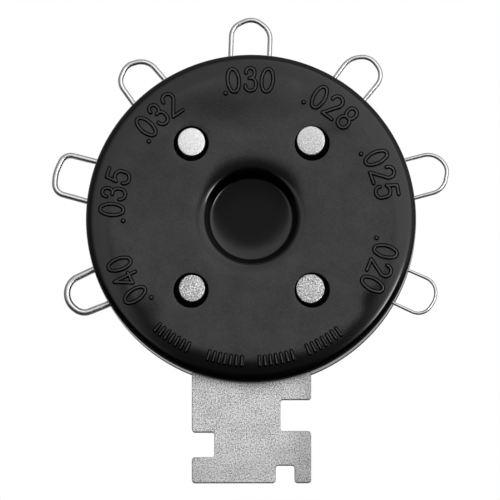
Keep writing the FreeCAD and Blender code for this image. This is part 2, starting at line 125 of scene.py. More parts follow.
# ------------------------------------------------------------------ materials
def plastic(name, base, rough, grain, grain_size=5200.0, spread=0.04, satin=None, gloss_rough=0.2, gloss_base=0.001, polished=()):
    """Black moulded plastic; satin=(r0, r1, r2, r3) keeps the spark-textured
    finish to a ring of the face and leaves it polished inside and outside.
    On the side towards the top numeral the polish fades out more gradually.
    polished lists soft spots of painted shade, each a darker, glossier patch: x, y, half sizes in mm and how strong."""
    m, t = material(name)
    out = t.node("ShaderNodeOutputMaterial")
    b = t.node("ShaderNodeBsdfPrincipled")
    t.link(b.outputs[0], out.inputs[0])
    co = t.node("ShaderNodeTexCoord").outputs["Object"]
    cloud = t.noise(co, 260.0, 4.0, 0.62)
    fine = t.noise(co, grain_size, 2.0, 0.6)
    rough_map = t.ramp(t.noise(co, 1800.0, 2.0, 0.6), 0.3, 0.7, rough - spread, rough + spread, False)
    mottle = t.math("ADD", t.math("MULTIPLY", cloud, 0.45), t.math("MULTIPLY", fine, 0.55))
    colour = t.mix(t.ramp(mottle, 0.36, 0.64, 0.0, 1.0, False), [c * 0.54 for c in base], [c * 1.46 for c in base])
    strength = grain
    if satin:
        flat = t.node("ShaderNodeVectorMath", operation="MULTIPLY")
        t.link(co, flat.inputs[0])
        flat.inputs[1].default_value = (1, 1, 0)
        ln = t.node("ShaderNodeVectorMath", operation="LENGTH")
        t.link(flat.outputs[0], ln.inputs[0])
        r = ln.outputs["Value"]
        sep_y = t.node("ShaderNodeSeparateXYZ")
        t.link(flat.outputs[0], sep_y.inputs[0])
        side = t.ramp(t.math("DIVIDE", t.math("ADD", sep_y.outputs[1], t.math("MULTIPLY", sep_y.outputs[0], 0.12)), r), 0.25, 0.85)
        worn = t.math("MULTIPLY_ADD", t.math("SUBTRACT", r, 9.2 * MM), 0.45, 8.25 * MM)
        r_in = t.math("ADD", r, t.math("MULTIPLY", side, t.math("SUBTRACT", worn, r)))
        r_out = t.math("ADD", r, t.math("MULTIPLY", t.math("SUBTRACT", t.noise(co, 330.0, 2.0, 0.5), 0.5), 1.1 * MM))
        # the satin reaches further out at the lower right
        lean = t.node("ShaderNodeVectorMath", operation="DOT_PRODUCT")
        t.link(flat.outputs[0], lean.inputs[0])
        lean.inputs[1].default_value = (math.cos(math.radians(307)), math.sin(math.radians(307)), 0)
        r_out = t.math("SUBTRACT", r_out, t.ramp(t.math("DIVIDE", lean.outputs["Value"], r), 0.93, 0.99, 0.0, 0.55 * MM))
        on = t.math("MULTIPLY", t.ramp(r_in, satin[0] * MM, satin[1] * MM), t.ramp(r_out, satin[2] * MM, satin[3] * MM, 1.0, 0.0))
        # painted shade: each spot turns the face darker and glossier around its point
        for px, py, rx, ry, k in polished:
            off = t.node("ShaderNodeVectorMath", operation="SUBTRACT")
            t.link(flat.outputs[0], off.inputs[0])
            off.inputs[1].default_value = (px * MM, py * MM, 0)
            scl = t.node("ShaderNodeVectorMath", operation="MULTIPLY")
            t.link(off.outputs[0], scl.inputs[0])
            scl.inputs[1].default_value = (1 / (rx * MM), 1 / (ry * MM), 0)
            far = t.node("ShaderNodeVectorMath", operation="LENGTH")
            t.link(scl.outputs[0], far.inputs[0])
            on = t.math("MULTIPLY", on, t.ramp(far.outputs["Value"], 0.15, 1.25, 1.0 - k, 1.0))
        rough_map = t.math("ADD", t.math("MULTIPLY", rough_map, on), t.math("MULTIPLY", t.math("SUBTRACT", 1.0, on), gloss_rough))
        colour = t.mix(on, (gloss_base,) * 3, colour)
        strength = t.math("MULTIPLY_ADD", on, grain * 0.9, grain * 0.1)
    t.put(b, "Base Color", colour)
    t.put(b, "Roughness", rough_map)
    bump = t.node("ShaderNodeBump")
    t.put(bump, "Strength", strength)
    t.put(bump, "Distance", 0.00002)
    t.put(bump, "Height", fine)
    t.put(b, "Normal", bump.outputs[0])
    return m


def metal(name, base, rough, bump_strength, speck=0.1, size=4200.0, rough_spread=0.0, shade=(), calm=False, metallic=1.0, cloud=0.0, cut=(0.36, 0.64)):
    """Bare metal with a speckled grain. shade darkens it softly towards a
    point: (dark point, light point, factor), in mm. calm eases the grain off
    on the two upper heads, which were pressed flatter."""
    m, t = material(name)
    out = t.node("ShaderNodeOutputMaterial")
    b = t.node("ShaderNodeBsdfPrincipled")
    t.link(b.outputs[0], out.inputs[0])
    b.inputs["Metallic"].default_value = metallic
    co = t.node("ShaderNodeTexCoord").outputs["Object"]
    grain = t.noise(co, size, 3.0, 0.75)

    def across(p, q):
        """0 at point p, 1 at point q and beyond, along the line between them."""
        dx, dy = (q[0] - p[0]) * MM, (q[1] - p[1]) * MM
        n = dx * dx + dy * dy
        off = t.node("ShaderNodeVectorMath", operation="SUBTRACT")
        t.link(co, off.inputs[0])
        off.inputs[1].default_value = (p[0] * MM, p[1] * MM, 0)
        dot = t.node("ShaderNodeVectorMath", operation="DOT_PRODUCT")
        t.link(off.outputs[0], dot.inputs[0])
        dot.inputs[1].default_value = (dx / n, dy / n, 0)
        return dot.outputs["Value"]

    tone = t.ramp(grain, cut[0], cut[1])
    if cloud:
        soft = t.ramp(t.noise(co, 330.0, 3.0, 0.6), 0.34, 0.66, -cloud, cloud)
        tone = t.math("ADD", tone, soft, clamp=True)
    if calm:
        ease = t.ramp(across((-4.0, 14.0), (1.5, -5.0)), 0.0, 1.0, 0.25, 1.0)
        tone = t.math("ADD", t.math("MULTIPLY", ease, tone), t.math("MULTIPLY", t.math("SUBTRACT", 1.0, ease), 0.68))
        bump_strength = t.math("MULTIPLY", ease, bump_strength)
    colour = t.mix(tone, [c * (1 - speck) for c in base], [min(1, c * (1 + speck)) for c in base])
    for p, q, k in shade:
        dim = t.ramp(across(p, q), 0.0, 1.0, 0.0, 1.0)
        grey = t.mix(dim, (k, k, k), (1.0, 1.0, 1.0))
        mul = t.node("ShaderNodeMix", data_type="RGBA", blend_type="MULTIPLY")
        mul.inputs[0].default_value = 1.0
        t.link(colour, mul.inputs[6])
        t.link(grey, mul.inputs[7])
        colour = mul.outputs[2]
    t.put(b, "Base Color", colour)
    if rough_spread:
        t.put(b, "Roughness", t.ramp(t.noise(co, size * 0.6, 2.0, 0.6), 0.35, 0.65, rough - rough_spread, rough + rough_spread, False))
    else:
        t.put(b, "Roughness", rough)
    bump = t.node("ShaderNodeBump")
    t.put(bump, "Strength", bump_strength)
    t.put(bump, "Distance", 0.00002)
    t.put(bump, "Height", grain)
    t.put(b, "Normal", bump.outputs[0])
    return m


# soft spots of painted shade on the face, made darker and glossier
SHADE_SPOTS = [(-5.0, 17.4, 10.5, 4.4, 0.62), (4.0, 17.6, 5.8, 2.8, 0.30), (13.3, 13.9, 2.8, 1.7, 0.45),
         (18.7, -12.7, 2.5, 2.5, 0.95), (-16.0, -14.2, 3.0, 3.0, 0.70), (-15.5, 8.0, 7.5, 9.0, 0.24)]
FACE_BLACK = plastic("black_satin_face", (0.040, 0.040, 0.0404), 0.40, 0.70, satin=(7.70, 9.00, 20.9, 22.9), gloss_rough=0.13, polished=SHADE_SPOTS)
MARK_BLACK = plastic("black_satin_mark", (0.050, 0.050, 0.0504), 0.38, 0.50)
# near-black for the sides of the raised marks: painted shade along their outlines
MARK_SIDE_SHADE = plastic("black_mark_side_painted_shade", (0.0008, 0.0008, 0.0008), 0.16, 0.15)
MARK_SIDE_SHADE.node_tree.nodes["Principled BSDF"].inputs["Specular IOR Level"].default_value = 0.22
BACK_BLACK = plastic("black_satin_back", (0.040, 0.040, 0.0404), 0.40, 0.70)
EDGE_BLACK = plastic("black_gloss_wall", (0.001, 0.001, 0.001), 0.13, 0.03)
# near-black with almost no gloss, for the counterbores, bores and cut-outs: painted shade in the hollows
HOLLOW_SHADE_BLACK = plastic("black_painted_hollow_shade", (0.0003, 0.0003, 0.0003), 0.60, 0.05)
HOLLOW_SHADE_BLACK.node_tree.nodes["Principled BSDF"].inputs["Specular IOR Level"].default_value = 0.03
STEEL_BLADE = metal("blade_zinc", (0.98, 0.98, 0.97), 0.42, 2.1, 0.84, 5200.0, 0.06, shade=[((0.0, -40.5), (0.0, -33.0), 0.88), ((9.0, -34.0), (4.0, -33.0), 0.74), ((-9.0, -40.0), (-3.0, -37.0), 0.90)], metallic=0.88, cloud=0.08, cut=(0.385, 0.555))
STEEL_RIVET = metal("rivet_bright", (0.98, 0.98, 0.97), 0.32, 3.0, 0.78, 4600.0, 0.06, calm=True, cut=(0.36, 0.64))
STEEL_WIRE = metal("wire_polished", (0.93, 0.93, 0.92), 0.29, 0.05, 0.05)

for name, obj in NODES.items():
    if name in ("front_cover", "rear_cover"):
        set_material(obj, FACE_BLACK)
    elif name == "bending_blade":
        set_material(obj, STEEL_BLADE)
    elif name == "rivets":
        set_material(obj, STEEL_RIVET)
    else:
        set_material(obj, STEEL_WIRE)

# --------------------------------------------------------- pieces, fine shape
# The same pieces and sizes as the frame's nodes, with the soft moulded and
# formed shapes of the real ones. Millimetres here, metres in the meshes.
THICK, PART_Z = 8.0, 4.0
DISC_R, WALL_R = 25.40, 25.35
RECESS_DEPTH = 1.90
RECESS_AT = (0.07, 0.06)
PATTERN = (0.15, 0.11)
RIVET_D = (9.29, 11.33)
BORE_R, SHANK_R, CBORE_R, CBORE_DEPTH, CBORE_ENTRY = 1.55, 1.50, 2.68, 1.20, 0.12
RIVET_AT = [(PATTERN[0] + sx * RIVET_D[0], PATTERN[1] + sy * RIVET_D[1]) for sy in (1, -1) for sx in (-1, 1)]
DIGIT_R, DIGIT_H, DIGIT_W, RELIEF = 21.35, 3.56, 1.76, 0.29
# text, the direction of each digit, the direction of the leading point
LABELS = [("030", (97.15, 90.0, 83.1), 101.35), ("028", (60.35, 53.2, 45.9), 65.35),
          ("025", (25.4, 18.1, 10.85), 29.9), ("020", (-14.35, -21.8, -28.95), -9.4),
          ("032", (138.8, 131.6, 124.8), 143.0), ("035", (176.6, 169.75, 162.45), 181.4),
          ("040", (213.9, 206.6, 199.6), 219.0)]
RIB_GROUPS = [(228.6, 245.4), (252.0, 267.6), (272.4, 288.0), (292.2, 308.6)]
RIB_R, RIB_LEN, RIB_W, RIB_RELIEF = 22.15, 1.75, 0.40, 0.20
# raised strokes: distance from the stroke's middle line, share of the height
SOFT = [(0.108, 1.0), (0.136, 0.965), (0.160, 0.90), (0.190, 0.72), (0.224, 0.46), (0.258, 0.22), (0.290, 0.08), (0.325, 0.0), (0.342, 0.0)]
N_HOLE = 72


def table(points, step=0.005):
    """Height lost along a run whose slope in degrees is given at some radii."""
    r = np.arange(points[0][0], points[-1][0] + step / 2, step)
    s = np.tan(np.radians(np.interp(r, [p[0] for p in points], [p[1] for p in points])))
    return r, np.concatenate([[0.0], np.cumsum((s[1:] + s[:-1]) / 2 * np.diff(r))])


# outer fall of the face, and the soft fall towards the recess
EDGE_IN, EDGE_SLOPE = 24.50, 14.5
OUT_R, OUT_Z = table([(20.2, 0.0), (20.8, 0.4), (21.3, 1.6), (21.7, 3.6), (22.1, 5.9), (22.6, 7.9), (23.3, 8.9), (24.1, 9.5), (24.35, 12.0), (EDGE_IN, EDGE_SLOPE)])
MOUTH_R, MOUTH_Z = table([(6.80, 77.0), (6.96, 68.0), (7.06, 54.0), (7.18, 37.0), (7.30, 24.0), (7.42, 16.5), (7.62, 11.5), (7.82, 9.0),
                          (8.0, 7.2), (8.4, 5.2), (8.8, 3.9), (9.2, 2.8), (9.6, 1.8), (10.0, 1.0), (10.6, 0.3), (11.2, 0.0)])
FLOOR_R, FLOOR_Z = table([(0.0, 0.0), (3.1, 0.2), (4.0, 0.8), (4.65, 1.8), (5.2, 2.8), (5.7, 4.2), (5.95, 6.0), (6.15, 9.5), (6.30, 22.0), (6.42, 45.0), (6.52, 77.0)])


def face_height(x, y):
    """Height of the bare face over the back plane."""
    r = np.hypot(x, y)
    z = THICK - np.interp(r, OUT_R, OUT_Z) - (MOUTH_Z[-1] - np.interp(r, MOUTH_R, MOUTH_Z))
    # a slight wave in the moulding under the top numeral
    t = np.clip((y - 15.6) / 2.6, 0, 1)
    z = z + WAVE * t * t * (3 - 2 * t) * np.exp(-((x + 4.2) / 4.2) ** 2) * np.clip((22.5 - y) / 4.5, 0, 1) ** 1.5
    return z


WAVE = 0.012


def digit_lines(ch):
    w, h = DIGIT_W / 2.0, DIGIT_H / 2.0
    if ch == "0":
        return [("ring", [(0, -h), (0.414 * w, -h), (w, -0.414 * h), (w, 0.414 * h), (0.414 * w, h),
                          (-0.414 * w, h), (-w, 0.414 * h), (-w, -0.414 * h), (-0.414 * w, -h)],
                 [0.59, 3.0, 3.0, 0.59, 0.59, 3.0, 3.0, 0.59])]
    if ch == "8":
        return [("ring", [(0, 0.06), (0.73, 0.06), (0.73, h), (-0.73, h), (-0.73, 0.06)], [0.725] * 4),
                ("ring", [(0, -h), (0.85, -h), (0.85, 0.06), (-0.85, 0.06), (-0.85, -h)], [0.845] * 4)]
    if ch == "2":
        return [("open", [(-0.86, 0.86), (-0.86, h), (0.83, h), (0.83, 0.62), (-0.86, -h), (0.93, -h)],
                 [0.84, 0.84, 0.90, 0.0])]
    if ch == "3":
        return [("open", [(-0.70, 1.00), (-0.70, h), (0.60, h), (0.60, 0.20), (-0.20, 0.20)], [0.64, 0.64, 0.62]),
                ("open", [(-0.20, 0.20), (0.80, 0.20), (0.80, -h), (-0.82, -h), (-0.82, -0.95)], [0.80, 0.80, 0.80])]
    if ch == "4":
        return [("open", [(0.50, -h), (0.50, h), (-0.88, -0.70), (0.86, -0.70)], [0.0, 0.0])]
    return [("open", [(0.80, 1.64), (-0.62, 1.66), (-0.86, 0.06), (-0.36, 0.48), (0.88, 0.48), (0.88, -h), (-0.86, -h), (-0.86, -0.98)],
             [0.0, 0.0, 0.42, 0.88, 0.86, 0.79])]


def strokes(points, radii):
    """Straight runs and arcs of a line whose corners are rounded."""
    pts = [Vector(p) for p in points]
    out, last = [], pts[0]
    for i in range(1, len(pts) - 1):
        a, b, c = pts[i - 1], pts[i], pts[i + 1]
        u, w = (a - b).normalized(), (c - b).normalized()
        half = math.acos(max(-1.0, min(1.0, u.dot(w)))) / 2.0
        r = radii[i - 1]
        if r <= 0 or half > math.pi / 2 - 1e-4:
            out.append(("line", tuple(last), tuple(b)))
            last = b
            continue
        t = r / math.tan(half)
        p, q = b + u * t, b + w * t
        centre = b + (u + w).normalized() * (r / math.sin(half))
        if (p - last).length > 1e-5:
            out.append(("line", tuple(last), tuple(p)))
        mid = centre + (b - centre).normalized() * r
        out.append(("arc", tuple(centre), r, math.atan2(mid.y - centre.y, mid.x - centre.x), math.pi / 2 - half, tuple(p), tuple(q)))
        last = q
    if (pts[-1] - last).length > 1e-5:
        out.append(("line", tuple(last), tuple(pts[-1])))
    return out


def distance(parts, x, y):
    """Distance of points from a set of strokes, all in the same axes."""
    d = np.full(np.shape(x), 9.0)
    for s in parts:
        if s[0] == "line":
            (ax, ay), (bx, by) = s[1], s[2]
            ux, uy = bx - ax, by - ay
            k = np.clip(((x - ax) * ux + (y - ay) * uy) / max(ux * ux + uy * uy, 1e-12), 0, 1)
            d = np.minimum(d, np.hypot(x - ax - k * ux, y - ay - k * uy))
        else:
            _, (cx, cy), r, mid, half, p, q = s
            turn = (np.arctan2(y - cy, x - cx) - mid + math.pi) % (2 * math.pi) - math.pi
            ring = np.abs(np.hypot(x - cx, y - cy) - r)
            ends = np.minimum(np.hypot(x - p[0], y - p[1]), np.hypot(x - q[0], y - q[1]))
            d = np.minimum(d, np.where(np.abs(turn) <= half, ring, ends))
    return d


def glyph(ch):
    """Strokes, height and thickness offset of one raised mark."""
    if ch == ".":
        return [("line", (0.0, 0.0), (0.0, 0.0))], RELIEF, 0.06
    if ch == "|":
        l = RIB_LEN / 2 - RIB_W / 2
        return [("line", (0.0, -l), (0.0, l))], RIB_RELIEF, -0.02
    parts = []
    for kind, pts, radii in digit_lines(ch):
        parts += strokes(pts + [pts[0]] if kind == "ring" else pts, radii)
    return parts, RELIEF, 0.0


def level_loops(parts, level, step=0.04):
    """Closed curves at one distance from the strokes, by marching squares."""
    xs = [c for s in parts for c in ((s[1][0], s[2][0]) if s[0] == "line" else (s[1][0] - s[2], s[1][0] + s[2]))]
    ys = [c for s in parts for c in ((s[1][1], s[2][1]) if s[0] == "line" else (s[1][1] - s[2], s[1][1] + s[2]))]
    pad = level + 2.3 * step
    gx = np.arange(min(xs) - pad, max(xs) + pad, step)
    gy = np.arange(min(ys) - pad, max(ys) + pad, step)
    X, Y = np.meshgrid(gx, gy, indexing="ij")
    F = distance(parts, X, Y) - level
    F[F == 0] = 1e-9
    S = F < 0
    links, where = {}, {}

    def cut(i, j, k, l):
        """Crossing on the grid edge from (i, j) to (k, l)."""
        f = F[i, j] / (F[i, j] - F[k, l])
        return (gx[i] + (gx[k] - gx[i]) * f, gy[j] + (gy[l] - gy[j]) * f)

    mixed = S[:-1, :-1].astype(int) + S[1:, :-1] + S[:-1, 1:] + S[1:, 1:]
    for i, j in zip(*np.nonzero((mixed > 0) & (mixed < 4))):
        e = [((i, j), (i + 1, j)), ((i + 1, j), (i + 1, j + 1)), ((i, j + 1), (i + 1, j + 1)), ((i, j), (i, j + 1))]
        hit = [q for q in e if S[q[0]] != S[q[1]]]
        if len(hit) == 4 and not S[i, j]:
            hit = [hit[3], hit[0], hit[1], hit[2]]
        for p, q in zip(hit[0::2], hit[1::2]):
            for v in (p, q):
                if v not in where:
                    where[v] = cut(*v[0], *v[1])
            links.setdefault(p, []).append(q)
            links.setdefault(q, []).append(p)
    loops, seen = [], set()
    for start in sorted(links):
        if start in seen:
            continue
        loop, cur = [start], start
        seen.add(start)
        while True:
            nxt = [v for v in links[cur] if v not in seen]
            if not nxt:
                break
            cur = nxt[0]
            seen.add(cur)
            loop.append(cur)
        loops.append(np.array([where[v] for v in loop]))
    return loops


def resample(loop, space):
    closed = np.vstack([loop, loop[:1]])
    seg = np.hypot(*np.diff(closed, axis=0).T)
    s = np.concatenate([[0], np.cumsum(seg)])
    n = max(8, int(round(s[-1] / space)))
    t = np.arange(n) * s[-1] / n
    return np.c_[np.interp(t, s, closed[:, 0]), np.interp(t, s, closed[:, 1])]


def placed(pts, r, deg):
    a = math.radians(deg - 90.0)
    x, y = pts[:, 0], pts[:, 1] + r
    return np.c_[x * math.cos(a) - y * math.sin(a), x * math.sin(a) + y * math.cos(a)]


MARKS = []
for text, degs, dot_deg in LABELS:
    MARKS += [(ch, DIGIT_R, d) for ch, d in zip(text, degs)]
    MARKS.append((".", DIGIT_R - DIGIT_H / 2.0, dot_deg))
for a0, a1 in RIB_GROUPS:
    MARKS += [("|", RIB_R, a0 + (a1 - a0) * (i + 0.5) / 7) for i in range(7)]


def relief(x, y):
    """Height of the raised marks over the bare face, and the nearest distance."""
    h = np.zeros(np.shape(x))
    near = np.full(np.shape(x), 9.0)
    dd, ss = np.array([s[0] for s in SOFT]), np.array([s[1] for s in SOFT])
    for ch, r, deg in MARKS:
        parts, top, fat = glyph(ch)
        a = math.radians(deg - 90.0)
        lx = x * math.cos(a) + y * math.sin(a)
        ly = -x * math.sin(a) + y * math.cos(a) - r
        m = (np.abs(lx) < 2.0) & (np.abs(ly) < 3.0)
        if not m.any():
            continue
        d = distance(parts, lx[m], ly[m]) - fat
        h[m] = np.maximum(h[m], top * np.interp(d, dd, ss))
        near[m] = np.minimum(near[m], d)
    return h, near


def circle(r, n, cx=0.0, cy=0.0):
    t = np.arange(n) * 2 * math.pi / n
    return np.c_[cx + r * np.cos(t), cy + r * np.sin(t)]


def left_turn(p, q, r):
    return (q[0] - p[0]) * (r[1] - p[1]) - (q[1] - p[1]) * (r[0] - p[0]) > 0


class Shell:
    """Vertices and faces gathered ring by ring, with a tag for each face."""

    def __init__(self):
        self.v, self.f, self.tag = [], [], []

    def ring(self, pts, z):
        base = len(self.v)
        self.v.extend((p[0] * MM, p[1] * MM, zz * MM) for p, zz in zip(pts, np.broadcast_to(z, len(pts))))
        return list(range(base, base + len(pts)))

    def face(self, f, tag=0):
        self.f.append(tuple(f))
        self.tag.append(tag)

    def band(self, a, b, tag=0):
        """Quads between two rings; seen from outside, b lies outward of a."""
        n = len(a)
        for i in range(n):
            self.face((a[i], b[i], b[(i + 1) % n], a[(i + 1) % n]), tag)

    def turned(self, prof, n, cx=0.0, cy=0.0, tag=0, flip=False):
        """Rings of a (radius, height) profile joined up; returns them."""
        rings = [self.ring(circle(r, n, cx, cy), z) for r, z in prof]
        for i, (a, b) in enumerate(zip(rings, rings[1:])):
            g = tag[i] if isinstance(tag, list) else tag
            if flip:
                self.band(b, a, g)
            else:
                self.band(a, b, g)
        return rings

    def cap(self, outer, inners, up, tag=0, holes=()):
        """Flat face inside a ring, less the holes given as (x, y, radius)."""
        idx = list(outer) + [i for lp in inners for i in lp]
        loops, k = [], 0
        for lp in [outer] + list(inners):
            loops += [(k + i, k + (i + 1) % len(lp)) for i in range(len(lp))]
            k += len(lp)
        o = delaunay_2d_cdt([Vector((self.v[i][0] / MM, self.v[i][1] / MM)) for i in idx], loops, [], 0, 1e-5, True)
        src = [idx[s[0]] for s in o[3]]
        fl = np.array([tuple(v) for v in o[0]])
        for f in o[2]:
            c = fl[list(f)].mean(axis=0)
            if any(math.hypot(c[0] - hx, c[1] - hy) < hr * 0.999 for hx, hy, hr in holes):
                continue
            g = [src[i] for i in f]
            self.face(g if left_turn(fl[f[0]], fl[f[1]], fl[f[2]]) == up else g[::-1], tag)

    def mesh(self, name):
        me = bpy.data.meshes.new(name)
        me.from_pydata(self.v, [], self.f)
        for _ in range(max(self.tag) + 1):
            me.materials.append(None)
        me.polygons.foreach_set("material_index", self.tag)
        return me


def as_object(me, name, smooth=38):
    me.name = name
    # level faces at and below the parting plane are shaded flat: they are large
    me.polygons.foreach_set("use_smooth", [abs(p.normal.z) < 0.99999 or p.center.z > (PART_Z + 0.01) * MM for p in me.polygons])
    me.set_sharp_from_angle(angle=math.radians(smooth))
    ob = bpy.data.objects.new(name, me)
    scene.collection.objects.link(ob)
    return ob


# wires as in the frame: name, diameter, direction, centre line (t across, u out)
WIRES = [
    ("wire_030", 0.762, 90.0, [(3.21, 24.5), (3.01, 29.92), (-0.24, 31.48), (-2.96, 29.36), (-2.77, 24.5)], [2.21, 2.58, 2.68]),
    ("wire_032", 0.813, 128.0, [(3.17, 24.5), (2.94, 29.48), (0.38, 30.83), (-2.75, 29.63), (-2.97, 24.5)], [2.22, 2.21, 2.88]),
    ("wire_035", 0.889, 166.0, [(3.24, 24.5), (3.07, 30.45), (0.19, 31.10), (-3.11, 30.36), (-3.06, 24.5)], [1.71, 6.00, 1.62]),
    ("wire_040", 1.016, 204.6, [(2.64, 24.5), (2.37, 29.64), (-0.33, 31.12), (-3.15, 29.58), (-3.20, 24.5)], [2.16, 2.87, 2.65]),
    ("wire_028", 0.711, 52.9, [(3.02, 24.5), (3.07, 29.38), (0.51, 31.26), (-2.90, 30.24), (-2.65, 24.5)], [3.60, 2.50, 2.37]),
    ("wire_025", 0.635, 14.5, [(3.02, 24.5), (3.03, 30.13), (0.08, 31.30), (-2.97, 29.83), (-3.04, 24.5)], [3.01, 2.30, 2.66]),
    ("wire_020", 0.508, -24.0, [(2.69, 24.5), (2.73, 30.07), (0.11, 30.86), (-2.96, 30.24), (-2.85, 24.5)], [2.45, 3.10, 2.17]),
]
WIRE_FOOT, WIRE_END_U, CHANNEL_GAP = 1.70, 18.90, 0.12
BLADE_X0, BLADE_HALF_W, BLADE_T, TANG_TOP_Y = 0.05, 9.15, 1.60, -7.90


def wire_axes(deg):
    a = math.radians(deg)
    return Vector((math.cos(a), math.sin(a))), Vector((-math.sin(a), math.cos(a)))


def leg_end(p, q):
    """Inner end of a leg: its line carried inward to the feet."""
    k = (WIRE_END_U - p[1]) / (p[1] - q[1])
    return (p[0] + (p[0] - q[0]) * k, WIRE_END_U)


def room(front):
    """Room for the tang, the wires' legs and feet, as one cutting object."""
    bm = bmesh.new()

    def prism(corners, half):
        z0, z1 = (PART_Z - 1.0, PART_Z + half) if front else (PART_Z - half, PART_Z + 1.0)
        lo = [bm.verts.new((x * MM, y * MM, z0 * MM)) for x, y in corners]
        hi = [bm.verts.new((x * MM, y * MM, z1 * MM)) for x, y in corners]
        bm.faces.new(list(reversed(lo)))
        bm.faces.new(hi)
        for i in range(4):
            j = (i + 1) % 4
            bm.faces.new((lo[i], lo[j], hi[j], hi[i]))

    g = 0.06
    x0, x1 = BLADE_X0 - BLADE_HALF_W - g, BLADE_X0 + BLADE_HALF_W + g
    prism([(x0, -30.0), (x1, -30.0), (x1, TANG_TOP_Y + g), (x0, TANG_TOP_Y + g)], BLADE_T / 2)
    for _, diam, deg, line, _r in WIRES:
        eu, et = wire_axes(deg)
        wide = diam / 2 + CHANNEL_GAP
        for p, q, sgn in ((line[0], line[1], -1), (line[-1], line[-2], 1)):
            s = leg_end(p, q)
            inner, outer = et * s[0] + eu * s[1], et * q[0] + eu * q[1]
            foot = et * (s[0] + sgn * (WIRE_FOOT + 0.10)) + eu * WIRE_END_U
            n = (outer - inner).normalized()
            for p0, p1 in ((inner - n * wide, inner + n * 9.0), (foot, inner)):
                d = (p1 - p0).normalized()
                side = Vector((-d.y, d.x)) * wide
                prism([tuple(v) for v in (p0 - side, p1 - side, p1 + side, p0 + side)], diam / 2)
    me = bpy.data.meshes.new("room")
    bm.to_mesh(me)
    bm.free()
    ob = bpy.data.objects.new("room", me)
    scene.collection.objects.link(ob)
    return ob


def hollowed(low, front, drop_tag, extra, name):
    """Cut the room out of a closed body, drop its helper lid, add the rest."""
    body = bpy.data.objects.new("body", low)
    scene.collection.objects.link(body)
    cutter = room(front)
    mod = body.modifiers.new("room", "BOOLEAN")
    mod.operation, mod.solver, mod.object = "DIFFERENCE", "EXACT", cutter
    mod.use_self = True
    dg = bpy.context.evaluated_depsgraph_get()
    cut = bpy.data.meshes.new_from_object(body.evaluated_get(dg))
    bm = bmesh.new()
    bm.from_mesh(cut)
    if drop_tag is not None:
        bmesh.ops.delete(bm, geom=[f for f in bm.faces if f.material_index == drop_tag], context="FACES")
    for f in bm.faces:
        f.material_index = 1 if f.material_index >= 1 else 0
    if extra:
        bm.from_mesh(extra)
    bmesh.ops.remove_doubles(bm, verts=bm.verts, dist=2e-7)
    bmesh.ops.dissolve_degenerate(bm, edges=bm.edges, dist=1e-8)
    print(name, "faces", len(bm.faces), "open edges", sum(1 for e in bm.edges if len(e.link_faces) != 2))
    me = bpy.data.meshes.new(name)
    bm.to_mesh(me)
    bm.free()
    for ob in (body, cutter):
        bpy.data.objects.remove(ob)
    return as_object(me, name)


def counterbore(sh, cx, cy, z_face, z_step, tag):
    """Mouth, wall and step of one counterbore; sign follows the face's side."""
    s = 1.0 if z_face > z_step else -1.0
    prof = []
    for k in range(0, 6):
        a = math.pi / 2 * k / 5
        prof.append((CBORE_R + CBORE_ENTRY * (1 - math.sin(a)), z_face - s * CBORE_ENTRY * (1 - math.cos(a))))
    prof += [(CBORE_R, z_face - s * 0.5), (CBORE_R, z_step + s * 0.12), (CBORE_R - 0.04, z_step + s * 0.03),
             (CBORE_R - 0.12, z_step), (2.1, z_step), (BORE_R, z_step)]
    return sh.turned(prof, N_HOLE, cx, cy, [0] * 5 + [tag] * (len(prof) - 6), flip=s > 0)


